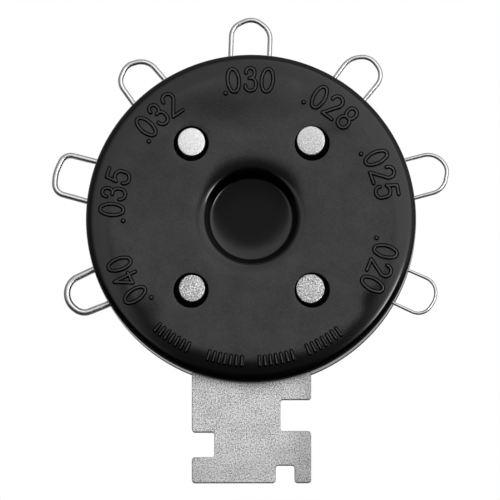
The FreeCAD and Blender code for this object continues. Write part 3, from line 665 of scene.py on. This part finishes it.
def build_front():
    RING_IN, RING_OUT, N_IN, N_OUT = 11.4, 24.0, 240, 480
    sh = Shell()
    # finger recess and the soft fall of the face towards it
    depth0 = THICK - RECESS_DEPTH
    floor_z = lambda r: depth0 - (FLOOR_Z[-1] - FLOOR_Z[0]) + float(np.interp(r, FLOOR_R, FLOOR_Z))
    prof = [(r, floor_z(r)) for r in (0.4, 1.2, 2.0, 2.8, 3.5, 3.9, 4.2, 4.45, 4.7, 4.9, 5.1, 5.3, 5.5, 5.7, 5.85, 5.97, 6.08, 6.17, 6.25, 6.32, 6.38, 6.43, 6.48, 6.52)]
    z_w = float(face_height(np.array([6.80]), np.array([0.0]))[0])
    prof.append((6.66, (prof[-1][1] + z_w) / 2))
    prof += [(r, float(face_height(np.array([r]), np.array([0.0]))[0])) for r in
             (6.80, 6.86, 6.92, 6.97, 7.02, 7.07, 7.12, 7.17, 7.22, 7.27, 7.33, 7.39, 7.46, 7.54, 7.63, 7.74, 7.86, 8.0, 8.15, 8.3, 8.5, 8.7, 8.95, 9.2, 9.5, 9.8, 10.2, 10.6, 11.0, RING_IN)]
    centre = len(sh.v)
    sh.v.append((RECESS_AT[0] * MM, RECESS_AT[1] * MM, floor_z(0.0) * MM))
    rings = sh.turned(prof, N_IN)
    # the recess sits a little off the disc axis; the shift dies out before the joined ring
    for i in range(centre + 1, len(sh.v)):
        vx, vy, vz = sh.v[i]
        k = min(1.0, max(0.0, (10.6 - math.hypot(vx, vy) / MM) / 3.0))
        sh.v[i] = (vx + RECESS_AT[0] * k * MM, vy + RECESS_AT[1] * k * MM, vz)
    for i in range(N_IN):
        sh.face((centre, rings[0][i], rings[0][(i + 1) % N_IN]))

    # outer edge, rounded
    prof = [(r, THICK - float(np.interp(r, OUT_R, OUT_Z))) for r in (RING_OUT, 24.2)]
    s1 = math.radians(EDGE_SLOPE)
    fr = (WALL_R - EDGE_IN) / (1 - math.sin(s1))
    z0 = THICK - float(OUT_Z[-1])
    ec, ez = WALL_R - fr, z0 - fr * math.cos(s1)
    for k in range(0, 19):
        a = s1 + (math.pi / 2 - s1) * k / 18
        prof.append((ec + fr * math.sin(a), ez + fr * math.cos(a)))
    sh.turned(prof, N_OUT)
    rim_z = prof[-1][1]

    z_step = THICK - CBORE_DEPTH
    for cx, cy in RIVET_AT:
        counterbore(sh, cx, cy, THICK, z_step, 1)

    # the face between: raised marks and open ground
    pts, edges = [], []

    def add_loop(p):
        base = len(pts)
        pts.extend(map(tuple, p))
        edges.extend((base + i, base + (i + 1) % len(p)) for i in range(len(p)))

    add_loop(circle(RING_IN, N_IN))
    add_loop(circle(RING_OUT, N_OUT))
    for cx, cy in RIVET_AT:
        add_loop(circle(CBORE_R + CBORE_ENTRY, N_HOLE, cx, cy))
    cache = {}
    for ch, r, deg in MARKS:
        if ch not in cache:
            parts, top, fat = glyph(ch)
            cache[ch] = [resample(lp, 0.11) for d, _ in SOFT for lp in level_loops(parts, d + fat)]
        for lp in cache[ch]:
            add_loop(placed(lp, r, deg))
    fill = []
    for r in np.arange(RING_IN + 0.7, 18.4, 0.8):
        fill.append(circle(r, int(2 * math.pi * r / 0.9)))
    for r in np.arange(18.6, 23.9, 0.33):
        fill.append(circle(r, int(2 * math.pi * r / 0.5)))
    fill = np.vstack(fill)
    _, near = relief(fill[:, 0], fill[:, 1])
    keep = near > 0.45
    for cx, cy in RIVET_AT:
        keep &= np.hypot(fill[:, 0] - cx, fill[:, 1] - cy) > CBORE_R + 0.45
    pts.extend(map(tuple, fill[keep]))
    out = delaunay_2d_cdt([Vector(p) for p in pts], edges, [], 0, 1e-5, False)
    flat = np.array([tuple(v) for v in out[0]])
    h, near = relief(flat[:, 0], flat[:, 1])
    z = face_height(flat[:, 0], flat[:, 1])
    # the wave stays off the joined borders
    rr = np.hypot(flat[:, 0], flat[:, 1])
    edge_z = THICK - np.interp(rr, OUT_R, OUT_Z)
    border = np.minimum(1.0, np.maximum(0.0, np.minimum((RING_OUT - rr) / 1.2, (rr - RING_IN) / 1.2)))
    for cx, cy in RIVET_AT:
        border = np.minimum(border, np.clip((np.hypot(flat[:, 0] - cx, flat[:, 1] - cy) - CBORE_R - CBORE_ENTRY - 0.01) / 1.2, 0, 1))
    z = edge_z + (z - edge_z) * border + h
    base = len(sh.v)
    sh.v.extend((x * MM, y * MM, zz * MM) for (x, y), zz in zip(flat, z))
    tri = np.array([f for f in out[2]])
    c = flat[tri].mean(axis=1)
    ok = (np.hypot(c[:, 0], c[:, 1]) > RING_IN * math.cos(math.pi / N_IN) - 1e-9) & (np.hypot(c[:, 0], c[:, 1]) < RING_OUT)
    for cx, cy in RIVET_AT:
        ok &= np.hypot(c[:, 0] - cx, c[:, 1] - cy) > (CBORE_R + CBORE_ENTRY) * math.cos(math.pi / N_HOLE) * 0.9995
    for a, b, d in tri[ok]:
        # the sides of the strokes take the near-black material: painted shade that outlines the marks
        tag = 0 if min(near[a], near[b], near[d]) > 0.333 else 3 if near[a] + near[b] + near[d] > 0.345 else 2
        sh.face((base + a, base + b, base + d) if left_turn(flat[a], flat[b], flat[d]) else (base + a, base + d, base + b), tag)
    top = sh.mesh("front_top")

    # wall, parting face and rivet bores, with the room for blade and wires cut out
    lo = Shell()
    walls = [lo.ring(circle(WALL_R + (DISC_R - WALL_R) * f, N_OUT), rim_z + (PART_Z - rim_z) * f) for f in (0, 0.5, 1)]
    for a, b in zip(walls, walls[1:]):
        lo.band(a, b)
    tops, feet = [], []
    for cx, cy in RIVET_AT:
        a, b = lo.turned([(BORE_R, z_step), (BORE_R, PART_Z)], N_HOLE, cx, cy, 1, flip=True)
        tops.append(a)
        feet.append(b)
    holes = [(cx, cy, BORE_R) for cx, cy in RIVET_AT]
    lo.cap(walls[-1], feet, False, 1, holes)
    lo.cap(walls[0], tops, True, 2, holes)
    return hollowed(lo.mesh("front_low"), True, 2, top, "front_shell")


def build_rear():
    """The plain half: drafted wall, small edge rounding, flat back face."""
    N_OUT, br = 480, 0.25
    lo = Shell()
    prof = [(DISC_R, PART_Z), ((DISC_R + WALL_R) / 2, PART_Z / 2 + br / 2), (WALL_R, br)]
    prof += [(WALL_R - br * (1 - math.cos(a)), br * (1 - math.sin(a))) for a in np.linspace(0, math.pi / 2, 7)[1:]]
    rings = lo.turned(prof, N_OUT)
    mouths, tops = [], []
    for cx, cy in RIVET_AT:
        cb = counterbore(lo, cx, cy, 0.0, CBORE_DEPTH, 1)
        mouths.append(cb[0])
        up = lo.ring(circle(BORE_R, N_HOLE, cx, cy), PART_Z)
        lo.band(cb[-1], up, 1)
        tops.append(up)
    lo.cap(rings[-1], mouths, False, 0, [(cx, cy, CBORE_R + CBORE_ENTRY) for cx, cy in RIVET_AT])
    lo.cap(rings[0], tops, True, 1, [(cx, cy, BORE_R) for cx, cy in RIVET_AT])
    ob = hollowed(lo.mesh("rear_low"), False, None, None, "rear_shell")
    for p in ob.data.polygons:
        if p.normal.z < -0.9999 and abs(p.center.z) < 0.01 * MM:
            p.material_index = 2
    return ob


def build_wire(name, diam, deg, line, radii):
    """Round wire swept along its bent centre line, with eased ends."""
    eu, et = wire_axes(deg)
    s, e = leg_end(line[0], line[1]), leg_end(line[-1], line[-2])
    pts = [(s[0] - WIRE_FOOT, WIRE_END_U), s] + list(line[1:-1]) + [e, (e[0] + WIRE_FOOT, WIRE_END_U)]
    foot_r = max(0.55, 0.8 * diam)
    run = strokes(pts, [foot_r] + list(radii) + [foot_r])
    path = []
    for g in run:
        if g[0] == "line":
            a, b = Vector(g[1]), Vector(g[2])
            n = max(1, int((b - a).length / 0.6))
            path += [(a + (b - a) * k / n, (b - a).normalized()) for k in range(n + 1)]
        else:
            _, c, r, mid, half, p, q = g
            c = Vector(c)
            a0 = math.atan2(p[1] - c.y, p[0] - c.x)
            sweep = (math.atan2(q[1] - c.y, q[0] - c.x) - a0 + math.pi) % (2 * math.pi) - math.pi
            n = max(3, int(abs(sweep) / math.radians(4)))
            for k in range(n + 1):
                t = a0 + sweep * k / n
                d = Vector((-math.sin(t), math.cos(t))) * (1 if sweep > 0 else -1)
                path.append((c + Vector((math.cos(t), math.sin(t))) * r, d))
    clean = [path[0]]
    for p, d in path[1:]:
        if (p - clean[-1][0]).length > 1e-4:
            clean.append((p, d))
    p0, d0 = clean[0]
    p1, d1 = clean[-1]
    ease = 0.06
    stations = [(p0, d0, diam / 2 - ease), (p0 + d0 * ease, d0, diam / 2)]
    stations += [(p, d, diam / 2) for p, d in clean[1:-1]]
    stations += [(p1 - d1 * ease, d1, diam / 2), (p1, d1, diam / 2 - ease)]
    sh, rings, n = Shell(), [], 24
    for p, d, r in stations:
        side = Vector((-d.y, d.x))
        ring = []
        for k in range(n):
            t = 2 * math.pi * k / n
            q = p + side * (r * math.cos(t))
            w = et * q.x + eu * q.y
            ring.append((w.x, w.y, PART_Z + r * math.sin(t)))
        base = len(sh.v)
        sh.v.extend((a * MM, b * MM, c * MM) for a, b, c in ring)
        rings.append(list(range(base, base + n)))
    for a, b in zip(rings, rings[1:]):
        sh.band(a, b)
    sh.face(rings[0])
    sh.face(rings[-1][::-1])
    me = sh.mesh(name + "_fine")
    bm = bmesh.new()
    bm.from_mesh(me)
    bmesh.ops.recalc_face_normals(bm, faces=bm.faces)
    bm.to_mesh(me)
    bm.free()
    return as_object(me, name + "_fine", 50)


# formed rivets: offset, radii across and up, tilt of the top (degrees, direction)
HEADS = [((0.05, 0.24), (2.11, 2.19), 6.5, 40.0), ((-0.17, 0.39), (2.16, 2.24), 2.4, 60.0), ((0.14, 0.30), (1.99, 2.07), 0.8, 200.0), ((-0.28, 0.19), (2.17, 2.23), 1.2, 190.0)]
BACK_HEAD_R, HEAD_PROUD, BACK_SUNK = 2.10, 0.30, 0.15


def build_rivets():
    sh = Shell()
    n = 96
    for (cx, cy), ((ox, oy), (hx, hy), tilt, az) in zip(RIVET_AT, HEADS):
        hr = (hx + hy) / 2
        z_back, z_front = CBORE_DEPTH, THICK - CBORE_DEPTH
        e, br = 0.11, BACK_HEAD_R
        # back head, from its middle outward and up
        prof = [(0.5, BACK_SUNK, 0), (1.2, BACK_SUNK, 0), (br - e, BACK_SUNK, 0)]
        prof += [(br - e + e * math.sin(a), BACK_SUNK + e * (1 - math.cos(a)), 0) for a in np.linspace(0, math.pi / 2, 6)[1:]]
        prof += [(br, z_back, 0), (SHANK_R, z_back, 0), (SHANK_R, z_front, 1), (hr, z_front, 1)]
        top = THICK + HEAD_PROUD
        prof += [(hr - e + e * math.sin(a), top - 0.03 - e * (1 - math.cos(a)), 1) for a in np.linspace(math.pi / 2, 0, 7)]
        prof += [(hr - e - 0.12, top - 0.022, 1), (1.5, top - 0.008, 1), (0.9, top - 0.002, 1), (0.4, top, 1)]
        rings = []
        sx, sy = math.tan(math.radians(tilt)) * math.cos(math.radians(az)), math.tan(math.radians(tilt)) * math.sin(math.radians(az))
        for r, z, front in prof:
            own = front * (r > SHANK_R + 0.01 or z > z_front + 0.01)
            c = circle(r, n)
            c = np.c_[c[:, 0] * (1 + own * (hx / hr - 1)) + cx + ox * own, c[:, 1] * (1 + own * (hy / hr - 1)) + cy + oy * own]
            zz = np.full(n, z)
            if z > z_front + 0.3:
                k = min(1.0, (z - z_front - 0.3) / 0.8)
                zz = zz - k * ((c[:, 0] - cx - ox) * sx + (c[:, 1] - cy - oy) * sy)
            rings.append(sh.ring(c, zz))
        for a, b in zip(rings, rings[1:]):
            sh.band(b, a)
        lo_c, hi_c = len(sh.v), len(sh.v) + 1
        sh.v += [(cx * MM, cy * MM, BACK_SUNK * MM), ((cx + ox) * MM, (cy + oy) * MM, top * MM)]
        for i in range(n):
            j = (i + 1) % n
            sh.face((lo_c, rings[0][j], rings[0][i]))
            sh.face((hi_c, rings[-1][i], rings[-1][j]))
    me = sh.mesh("rivets_fine")
    bm = bmesh.new()
    bm.from_mesh(me)
    bmesh.ops.recalc_face_normals(bm, faces=bm.faces)
    bm.to_mesh(me)
    bm.free()
    return as_object(me, "rivets_fine", 50)


def use(ob, node, slot, *mats):
    """Let a fine mesh stand in for its node."""
    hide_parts(node)
    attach(ob, "root")
    tags = [0] * len(ob.data.polygons)
    ob.data.polygons.foreach_get("material_index", tags)
    set_material(ob, *mats)
    ob.data.polygons.foreach_set("material_index", tags)
    print(ob.name, "faces", len(tags), "dark faces", sum(1 for v in tags if v))


use(build_front(), "front_cover", "black_plastic", FACE_BLACK, HOLLOW_SHADE_BLACK, MARK_BLACK, MARK_SIDE_SHADE)
use(build_rear(), "rear_cover", "black_plastic", EDGE_BLACK, HOLLOW_SHADE_BLACK, BACK_BLACK)
use(build_rivets(), "rivets", "rivet_steel", STEEL_RIVET)
for spec in WIRES:
    use(build_wire(*spec), spec[0], "wire_steel", STEEL_WIRE)

# ---------------------------------------------------------------------- stage
# Pale floor in the plane the gauge lies on. It is evenly white to the camera; in reflections it is painted: dark right
# at the disc's foot as a painted contact shadow, then a painted bright ring close to the disc that fades further out,
# dimmer towards -Y.
# From below it is clear, so that the back can be looked at.
bpy.ops.mesh.primitive_plane_add(size=3.0, location=(0, 0, -0.05 * MM))
floor = bpy.context.active_object
floor.name = "floor"
mf, t = material("floor_white")
out = t.node("ShaderNodeOutputMaterial")
em = t.node("ShaderNodeEmission")
one_side = t.node("ShaderNodeMixShader")
t.link(t.node("ShaderNodeNewGeometry").outputs["Backfacing"], one_side.inputs[0])
t.link(em.outputs[0], one_side.inputs[1])
t.link(t.node("ShaderNodeBsdfTransparent").outputs[0], one_side.inputs[2])
t.link(one_side.outputs[0], out.inputs[0])
path = t.node("ShaderNodeLightPath")
spot_at = t.node("ShaderNodeTexCoord").outputs["Object"]
ln = t.node("ShaderNodeVectorMath", operation="LENGTH")
t.link(spot_at, ln.inputs[0])
dist = ln.outputs["Value"]
# painted reflection: glossy rays see the floor dark inside 25.5 mm as a painted contact shadow, and a bright ring just
# outside that fades out
near = t.math("MULTIPLY", t.ramp(dist, 25.50 * MM, 25.66 * MM), t.ramp(dist, 25.7 * MM, 27.1 * MM, 0.62, 0.0, False))
sep_f = t.node("ShaderNodeSeparateXYZ")
t.link(spot_at, sep_f.inputs[0])
# painted reflection further out, dimmer towards -Y
wide = t.math("MULTIPLY", t.ramp(sep_f.outputs[1], -16.0 * MM, 2.0 * MM, 0.06, 0.23), t.ramp(dist, 25.50 * MM, 25.66 * MM))
gloss = t.math("ADD", near, wide)
level = t.math("ADD", t.math("MULTIPLY", path.outputs["Is Glossy Ray"], gloss),
               t.math("SUBTRACT", 1.0, path.outputs["Is Glossy Ray"]))
t.put(em, "Strength", level)
set_material(floor, mf)

# Soft studio light: a wide overhead field, open where the camera looks in,
# dark behind the camera and near the horizon, with one small key light.
world = bpy.data.worlds.new("studio")
scene.world = world
world.use_nodes = True
w = Tree(world.node_tree)
wout = w.node("ShaderNodeOutputWorld")
bg = w.node("ShaderNodeBackground")
w.link(bg.outputs[0], wout.inputs[0])
gen = w.node("ShaderNodeTexCoord").outputs["Generated"]
sep = w.node("ShaderNodeSeparateXYZ")
w.link(gen, sep.inputs[0])
gx, gy, gz = sep.outputs


def toward(azimuth, elevation):
    """Unit vector: azimuth from +X towards +Y, elevation above the floor."""
    a, e = math.radians(azimuth), math.radians(elevation)
    return (math.cos(a) * math.cos(e), math.sin(a) * math.cos(e), math.sin(e))


def cone(azimuth, elevation, outer, inner, lo, hi):
    """lo outside the outer angle of a direction, hi inside the inner one."""
    nd = w.node("ShaderNodeVectorMath", operation="DOT_PRODUCT")
    w.link(gen, nd.inputs[0])
    nd.inputs[1].default_value = toward(azimuth, elevation)
    return w.ramp(nd.outputs["Value"], math.cos(math.radians(outer)), math.cos(math.radians(inner)), lo, hi)


def along(azimuth):
    """How far a direction leans towards an azimuth."""
    nd = w.node("ShaderNodeVectorMath", operation="DOT_PRODUCT")
    w.link(gen, nd.inputs[0])
    nd.inputs[1].default_value = toward(azimuth, 0.0)
    return nd.outputs["Value"]


field = w.math("MULTIPLY_ADD", along(12.0), 0.75, 1.22)
field = w.math("MULTIPLY", field, cone(12, 79.5, 46, 29, 0.28, 1.0))
field = w.math("MULTIPLY", field, cone(-90.0, 83.6, 18.5, 13.2, 1.0, 0.125))
field = w.math("MULTIPLY", field, cone(100, 68, 15, 3, 1.0, 0.80))
field = w.math("MULTIPLY", field, w.ramp(gy, -0.34, -0.14, 0.02, 1.0))
key = cone(-21, 60, 7.5, 5, 0.0, 10.0)
light = w.math("ADD", field, key)
seen = w.node("ShaderNodeLightPath").outputs["Is Camera Ray"]
w.put(bg, "Color", (1, 1, 1, 1))
w.put(bg, "Strength", w.math("MAXIMUM", light, seen))

# --------------------------------------------------------------------- camera
DIST = 1.2
FIELD = 76.93 * MM        # width seen at the parting plane
AIM = Vector((-0.185 * MM, -4.605 * MM, 4.0 * MM))
cam_data = bpy.data.cameras.new("camera")
cam = bpy.data.objects.new("camera", cam_data)
scene.collection.objects.link(cam)
cam_data.sensor_width = 36.0
cam_data.lens = 36.0 * DIST / FIELD
back = Vector(toward(CAM_AZ, CAM_EL))
right = Vector((0, 1, 0)).cross(back).normalized()
up = back.cross(right)
cam.location = AIM + back * DIST
cam.rotation_euler = Matrix((right, up, back)).transposed().to_euler()
cam_data.clip_start, cam_data.clip_end = 0.05, 10.0
scene.camera = cam
scene.view_settings.view_transform = "Standard"
